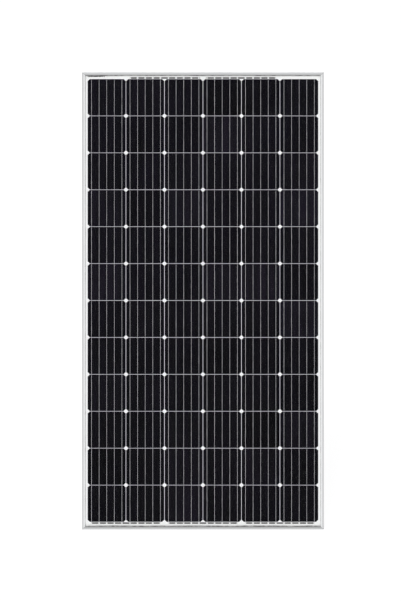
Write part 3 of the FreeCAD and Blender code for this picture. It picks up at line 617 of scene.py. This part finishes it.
def rating_marks(tree, across, up, width, height):
    """Border, heading bar, a table of short rules, and a block of bars; no letters."""
    margin = 3 * MM
    line = 0.5 * MM
    indent = 2 * MM
    row_height = 7 * MM
    table_low = 22 * MM
    table_high = height - 18 * MM
    divider = 0.56 * width
    heading_end = 0.62 * width
    left_start = 2 * margin + indent
    left_shortest = 14 * MM
    right_start = divider + 2 * indent
    right_shortest = 8 * MM
    right_margin = 12 * MM
    inner = patch(tree, across, up, (margin + line, width - margin - line),
                  (margin + line, height - margin - line))
    outer = patch(tree, across, up, (margin, width - margin), (margin, height - margin))
    border = math_node(tree, "SUBTRACT", outer, inner)
    heading = patch(tree, across, up, (2 * margin, heading_end),
                    (table_high + margin, height - 2 * margin))
    within = patch(tree, across, up, (2 * margin, width - 2 * margin), (table_low, table_high))
    turn = math_node(tree, "DIVIDE", math_node(tree, "SUBTRACT", up, table_low), row_height)
    row = math_node(tree, "FLOOR", turn)
    place_in_row = math_node(tree, "FRACT", turn)
    ruled = math_node(tree, "LESS_THAN", place_in_row, line / row_height)
    upright = between(tree, across, divider, divider + line)
    grid = math_node(tree, "MULTIPLY", within, math_node(tree, "MAXIMUM", ruled, upright))
    entries = between(tree, place_in_row, 0.38, 0.72)
    left_end = map_range(tree, random_number(tree, row), (0, 1),
                         (left_start + left_shortest, divider - 2 * indent))
    left = between(tree, across, left_start, left_end)
    other_draw = math_node(tree, "ADD", row, 40.0)
    right_end = map_range(tree, random_number(tree, other_draw), (0, 1),
                          (right_start + right_shortest, width - right_margin))
    right = between(tree, across, right_start, right_end)
    words = math_node(tree, "MULTIPLY", entries, math_node(tree, "MAXIMUM", left, right))
    words = math_node(tree, "MULTIPLY", within, words)
    bars = bar_block(tree, across, up, (2 * margin, heading_end), (2 * margin, table_low - margin),
                     bar=0.9 * MM, blank_share=0.45)
    return [border, heading, grid, words, bars]


# ==== mesh helpers =======================================================
def finish_mesh(name, shape, material, body, smooth=False):
    """Object from a bmesh, with recalculated normals, riding on a body."""
    bmesh.ops.recalc_face_normals(shape, faces=shape.faces)
    mesh = bpy.data.meshes.new(name)
    shape.to_mesh(mesh)
    shape.free()
    mesh.materials.append(material)
    for polygon in mesh.polygons:
        polygon.use_smooth = smooth
    piece = bpy.data.objects.new(name, mesh)
    bpy.context.scene.collection.objects.link(piece)
    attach(piece, body)
    return piece


def add_block(mesh, low, high):
    """Closed box between two corners."""
    corners = [
        mesh.verts.new((x, y, z))
        for x in (low[0], high[0]) for y in (low[1], high[1]) for z in (low[2], high[2])
    ]
    for face in ((0, 1, 3, 2), (4, 6, 7, 5), (0, 4, 5, 1), (2, 3, 7, 6), (0, 2, 6, 4), (1, 5, 7, 3)):
        mesh.faces.new([corners[index] for index in face])


def paint(node, material):
    """Give a CAD node its material."""
    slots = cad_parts[node].data.materials
    slots.clear()
    slots.append(material)


# ==== laminate ===========================================================
def column_centre(column):
    """x of the middle of a string."""
    low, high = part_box("cell_string_%d" % column)
    return (low.x + high.x) / 2


def row_centre(row):
    """z of the middle of a row of cells."""
    return (row - (ROWS - 1) / 2) * CELL_PITCH


def busbar_places(column):
    """x of each of a string's tabbing ribbons."""
    middle = (BUSBARS - 1) / 2
    return [column_centre(column) + (index - middle) * BUSBAR_PITCH for index in range(BUSBARS)]


def glass_pane(front_material, rear_material):
    """Front glass with ground edges; it stands for the clear sheets bonded behind it too."""
    low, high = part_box("front_glass")
    mesh = bmesh.new()
    add_block(mesh, low, (high.x, high.y - GLASS_CLEARANCE, high.z))
    bmesh.ops.bevel(mesh, geom=mesh.edges[:], offset=GLASS_ARRIS, segments=2, profile=0.6,
                    affect="EDGES")
    piece = finish_mesh("front_glass_pane", mesh, front_material, "panel")
    piece.data.materials.append(rear_material)
    for polygon in piece.data.polygons:
        polygon.material_index = 1 if polygon.normal.y > FACES_REAR else 0
    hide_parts("front_glass", "front_encapsulant", "rear_encapsulant")


def cell_fingers(column, material):
    """Printed contact lines across every cell of a string."""
    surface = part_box("cell_string_%d" % column)[0].y
    centre = column_centre(column)
    half = CELL_SIZE / 2 - FINGER_MARGIN
    count = int(2 * half / FINGER_PITCH)
    mesh = bmesh.new()
    for row in range(ROWS):
        for index in range(count + 1):
            offset = (index - count / 2) * FINGER_PITCH
            cut = max(0.0, abs(offset) - (CELL_SIZE / 2 - CELL_CHAMFER))
            reach = half - cut
            z = row_centre(row) + offset
            add_block(
                mesh,
                (centre - reach, surface - FINGER_HEIGHT, z - FINGER_WIDTH / 2),
                (centre + reach, surface, z + FINGER_WIDTH / 2),
            )
    finish_mesh("cell_fingers_%d" % column, mesh, material, "panel")


def solder_spots(material):
    """A flattened drop of solder where each tabbing ribbon meets a bus ribbon."""
    joints = {
        "bus_ribbon_bottom_1_2": (1, 2),
        "bus_ribbon_bottom_3_4": (3, 4),
        "bus_ribbon_bottom_5_6": (5, 6),
        "bus_ribbon_top_2_3": (2, 3),
        "bus_ribbon_top_4_5": (4, 5),
    }
    rng = random.Random(SOLDER_SEED)
    mesh = bmesh.new()
    for node, columns in joints.items():
        low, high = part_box(node)
        at_top = high.z > 0
        height = high.z - BUS_WIDTH / 2 if at_top else (low.z + high.z) / 2
        for column in columns:
            for x in busbar_places(column):
                half_width = rng.uniform(*SOLDER_HALF_WIDTH) * MM
                half_height = rng.uniform(*SOLDER_HALF_HEIGHT) * MM
                made = bmesh.ops.create_icosphere(mesh, subdivisions=3, radius=1.0)
                for vertex in made["verts"]:
                    vertex.co.x = x + vertex.co.x * half_width
                    vertex.co.y = low.y - SOLDER_RISE / 3 + vertex.co.y * SOLDER_RISE
                    vertex.co.z = height + vertex.co.z * half_height
    finish_mesh("solder_spots", mesh, material, "panel", smooth=True)


# ==== sealant ============================================================
def uneven(rng, wobble, mean, swing, jitter):
    """A factor that follows the bead's waves and has some chance in it."""
    return mean + swing * wobble + rng.uniform(-jitter, jitter)


def sealant_bead(side, material):
    """Silicone in one rail's groove, with the uneven beads squeezed out of it; the sliver on the glass in
    front carries painted shade.
    """
    node = "edge_sealant_" + side
    low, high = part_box(node)
    vertical = side in ("left", "right")
    along = 2 if vertical else 0
    across = 0 if vertical else 2
    sign = 1 if side in ("right", "top") else -1
    wall = max(abs(low[across]), abs(high[across]))
    reach = high[along]
    glass_low, glass_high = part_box("front_glass")
    edge = glass_high[across]
    glass_front = glass_low.y
    tip = CAD_BOUNDS[1][across] - LIP_WIDTH
    sheet_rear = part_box("backsheet")[1].y
    shelf_front = sheet_rear + SHELF_GAP
    full = high.y - sheet_rear
    turn_far, turn_near = BEAD_ROUND
    rng = random.Random("bead " + side)
    waves = [(rng.uniform(*BEAD_WAVE_PITCH), rng.uniform(0, math.tau)) for _ in range(BEAD_WAVES)]
    count = BEAD_STEPS[along]
    mesh = bmesh.new()
    rings = []
    for step in range(count + 1):
        position = (2 * step / count - 1) * reach
        wobble = sum(math.sin(position * pitch + phase) for pitch, phase in waves) / len(waves)
        size = full * uneven(rng, wobble, mean=0.80, swing=0.16, jitter=0.03)
        # the sliver on the glass, painted dark as shade along the lip's tip
        sliver_width = SHADE_SLIVER_WIDTH[side] * uneven(rng, wobble, mean=0.85, swing=0.25, jitter=0.1)
        outline = [
            (wall, low.y),
            (tip, low.y),
            (tip - sliver_width * 0.5, glass_front - SLIVER_RISE),
            (tip - sliver_width, glass_front - SLIVER_EDGE),
            (tip - sliver_width, glass_front),
            (edge, glass_front),
            (edge, sheet_rear),
            (tip - size, sheet_rear),
            (tip - size * turn_far, sheet_rear + size * turn_near),
            (tip - size * turn_near, sheet_rear + size * turn_far),
            (tip, sheet_rear + size),
            (tip, shelf_front),
            (wall, shelf_front),
        ]
        ring = []
        for inward, y in outline:
            limit = reach - (wall - inward)
            point = [0.0, y, 0.0]
            point[along] = max(-limit, min(limit, position))
            point[across] = sign * inward
            ring.append(mesh.verts.new(point))
        rings.append(ring)
    for first, second in zip(rings, rings[1:]):
        for index in range(len(first)):
            following = (index + 1) % len(first)
            mesh.faces.new((first[index], first[following], second[following], second[index]))
    mesh.faces.new(rings[0])
    mesh.faces.new(list(reversed(rings[-1])))
    bmesh.ops.remove_doubles(mesh, verts=mesh.verts, dist=TOUCHING)
    piece = finish_mesh("sealant_bead_" + side, mesh, material, "panel")
    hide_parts(node)


# ==== junction box =======================================================
def softened_copy(node, name, material, body, width):
    """A copy of a CAD node with its moulded edges rounded."""
    mesh = bmesh.new()
    mesh.from_mesh(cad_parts[node].data)
    bmesh.ops.remove_doubles(mesh, verts=mesh.verts, dist=TOUCHING)
    bmesh.ops.dissolve_limit(
        mesh, angle_limit=math.radians(1), verts=mesh.verts, edges=mesh.edges, delimit=set())
    piece = finish_mesh(name, mesh, material, body, smooth=True)
    bevel = piece.modifiers.new("soft_edges", "BEVEL")
    bevel.width = width
    bevel.segments = 2
    bevel.limit_method = "ANGLE"
    bevel.angle_limit = math.radians(40)
    piece.data.set_sharp_from_angle(angle=math.radians(35))
    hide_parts(node)


def polarity_marks(material):
    """Raised plus and minus signs on the lid, beside the two glands."""
    low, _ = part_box("jbox_lid")
    face = low.y + LID_FACE_DEPTH
    height = low.z + MARK_HEIGHT
    arm = MARK_ARM
    thick = MARK_HALF_LINE
    mesh = bmesh.new()
    for side, vertical_too in (("left", True), ("right", False)):
        nut_low, nut_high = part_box("gland_nut_" + side)
        x = (nut_low.x + nut_high.x) / 2
        strokes = [(x - arm, x + arm, height - thick, height + thick)]
        if vertical_too:
            strokes.append((x - thick, x + thick, height + thick, height + arm))
            strokes.append((x - thick, x + thick, height - arm, height - thick))
        for start, end, bottom, top in strokes:
            add_block(mesh, (start, face, bottom), (end, face + MARK_RISE, top))
    finish_mesh("polarity_marks", mesh, material, "junction_box_lid")


# ==== stage ==============================================================
def white_floor():
    """Large pale floor that stays white in the picture."""
    material = new_material("studio_floor")
    principled(material.node_tree, Roughness=0.9, Specular_IOR_Level=0.0, Base_Color=grey(FLOOR_TONE),
               Emission_Color=grey(1.0), Emission_Strength=FLOOR_GLOW)
    level = CAD_BOUNDS[0].z - FLOOR_GAP
    mesh = bmesh.new()
    corners = [(-1, -1), (1, -1), (1, 1), (-1, 1)]
    mesh.faces.new([mesh.verts.new((x * FLOOR_HALF, y * FLOOR_HALF, level)) for x, y in corners])
    data = bpy.data.meshes.new("floor")
    mesh.to_mesh(data)
    mesh.free()
    data.materials.append(material)
    floor = bpy.data.objects.new("floor", data)
    bpy.context.scene.collection.objects.link(floor)


def softbox(name, location, aim, size, power):
    """Large square area lamp aimed at a point."""
    lamp = bpy.data.lights.new(name, "AREA")
    lamp.shape = "SQUARE"
    lamp.size = size
    lamp.energy = power
    holder = bpy.data.objects.new(name, lamp)
    holder.location = location
    holder.rotation_euler = (Vector(aim) - Vector(location)).to_track_quat("-Z", "Y").to_euler()
    bpy.context.scene.collection.objects.link(holder)


def sun(name, azimuth, elevation, strength, softness):
    """Far, soft lamp; azimuth is measured from the front towards the left."""
    lamp = bpy.data.lights.new(name, "SUN")
    lamp.energy = strength
    lamp.angle = math.radians(softness)
    holder = bpy.data.objects.new(name, lamp)
    turn = math.radians(azimuth)
    rise = math.radians(elevation)
    towards = Vector((-math.sin(turn) * math.cos(rise), -math.cos(turn) * math.cos(rise), math.sin(rise)))
    holder.rotation_euler = towards.to_track_quat("Z", "Y").to_euler()
    bpy.context.scene.collection.objects.link(holder)


def studio_light():
    """White backdrop; the walls light the object less than the floor and the lamps do."""
    world = bpy.data.worlds.new("studio")
    bpy.context.scene.world = world
    world.use_nodes = True
    tree = world.node_tree
    background = tree.nodes["Background"]
    background.inputs["Color"].default_value = grey(1.0)
    path = add_node(tree, "ShaderNodeLightPath")
    strength = map_range(tree, path.outputs["Is Camera Ray"], (0, 1), (WALL_LIGHT, 1.0))
    link(tree, strength, background.inputs["Strength"])
    sun("key", azimuth=12, elevation=48, strength=1.90, softness=14)
    softbox("rear_top", location=(0.5, 4.5, 3.2), aim=(0, 0, 0.9), size=4.5, power=130)


def camera():
    """Parallel view of the front, looking slightly down."""
    angle = math.radians(CAMERA_ELEVATION)
    lens = bpy.data.cameras.new("camera")
    lens.type = "ORTHO"
    lens.ortho_scale = PICTURE_HEIGHT
    lens.clip_end = CAMERA_CLIP_END
    holder = bpy.data.objects.new("camera", lens)
    aim = Vector((CAMERA_SIDE_OFFSET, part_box("cell_string_1")[0].y, 0))
    away = Vector((0, -math.cos(angle), math.sin(angle)))
    holder.location = aim + away * CAMERA_DISTANCE
    holder.rotation_euler = (math.radians(90) - angle, 0, 0)
    bpy.context.scene.collection.objects.link(holder)
    bpy.context.scene.camera = holder


# ==== assembly ===========================================================
def paint_frame():
    """Rails and corner keys."""
    # each set of rails gets its own copy of the aluminium, with its own painted light and shade on the
    # lip
    side_metal = anodised_aluminium("anodised_sides", 2, LIP_PAINTED_SHADING["side"])
    mill = mill_aluminium()
    for side in ("left", "right"):
        paint("frame_rail_" + side, side_metal)
    for end in ("top", "bottom"):
        paint("frame_rail_" + end, anodised_aluminium("anodised_" + end, 0, LIP_PAINTED_SHADING[end]))
        for side in ("left", "right"):
            paint("corner_key_%s_%s" % (end, side), mill)


def paint_laminate():
    """Cells, ribbons, films, labels and backsheet."""
    cell = silicon_cell()
    ribbon = tinned_ribbon()
    bus = bus_ribbon()
    film = plain_film("white_film", 0.78, 0.86)
    for column in range(1, COLUMNS + 1):
        paint("cell_string_%d" % column, cell)
        paint("tabbing_ribbons_%d" % column, ribbon)
    for node in ("bus_ribbon_bottom_1_2", "bus_ribbon_bottom_3_4", "bus_ribbon_bottom_5_6",
                 "bus_ribbon_top_2_3", "bus_ribbon_top_4_5", "lead_out_string_1", "lead_out_string_6"):
        paint(node, bus)
    paint("insulation_strip", film)
    paint("insulation_patch", film)
    paint("serial_label", printed_paper("serial_label_print", "serial_label", serial_marks, ink=0.03))
    paint("rating_label", printed_paper("rating_label_print", "rating_label", rating_marks, ink=0.12))
    paint("backsheet", backsheet())


def paint_box(adhesive):
    """What stays visible in and on the junction box."""
    paint("jbox_adhesive", adhesive)
    paint("jbox_lid_gasket", moulded_plastic("gasket_foam", level=0.06, scale=900.0, roughness=0.8))
    paint("jbox_hinge_pins", bare_metal("pin_steel", 0.5, 0.7, metallic=0.95, stretch=(0.05, 1, 1)))
    plate = bare_metal("tinned_plate", 0.60, 0.70, metallic=0.85, stretch=(1, 1, 0.3))
    for index in range(1, 5):
        paint("terminal_%d" % index, plate)
    for index in range(1, 4):
        paint("bypass_diode_%d" % index, diode("bypass_diode_%d" % index))
    seal = moulded_plastic("seal_rubber", level=0.03, scale=600.0, roughness=0.7)
    for side in ("left", "right"):
        paint("gland_seal_" + side, seal)


def add_mouldings():
    """Visible shapes of the junction box, its lid and the gland nuts."""
    box_black = moulded_plastic("box_plastic", level=0.018)
    lid_black = moulded_plastic("lid_plastic", level=0.022)
    nut_black = moulded_plastic("gland_plastic", level=0.025, scale=1100.0, roughness=0.5)
    softened_copy("jbox_base", "jbox_base_moulding", box_black, "panel", BOX_EDGE)
    softened_copy("jbox_lid", "jbox_lid_moulding", lid_black, "junction_box_lid", BOX_EDGE)
    for side in ("left", "right"):
        softened_copy("gland_nut_" + side, "gland_nut_%s_moulding" % side, nut_black,
                      "gland_nut_%s_body" % side, NUT_EDGE)
    polarity_marks(lid_black)


sealant_white = silicone()
paint_frame()
paint_laminate()
paint_box(sealant_white)
glass_pane(solar_glass(), bonded_glass())
finger_metal = silver_finger()
for column in range(1, COLUMNS + 1):
    cell_fingers(column, finger_metal)
solder_spots(solder_metal())
for side in ("left", "right", "top", "bottom"):
    sealant_bead(side, sealant_white)
add_mouldings()
white_floor()
studio_light()
camera()
bpy.context.scene.view_settings.view_transform = "Standard"
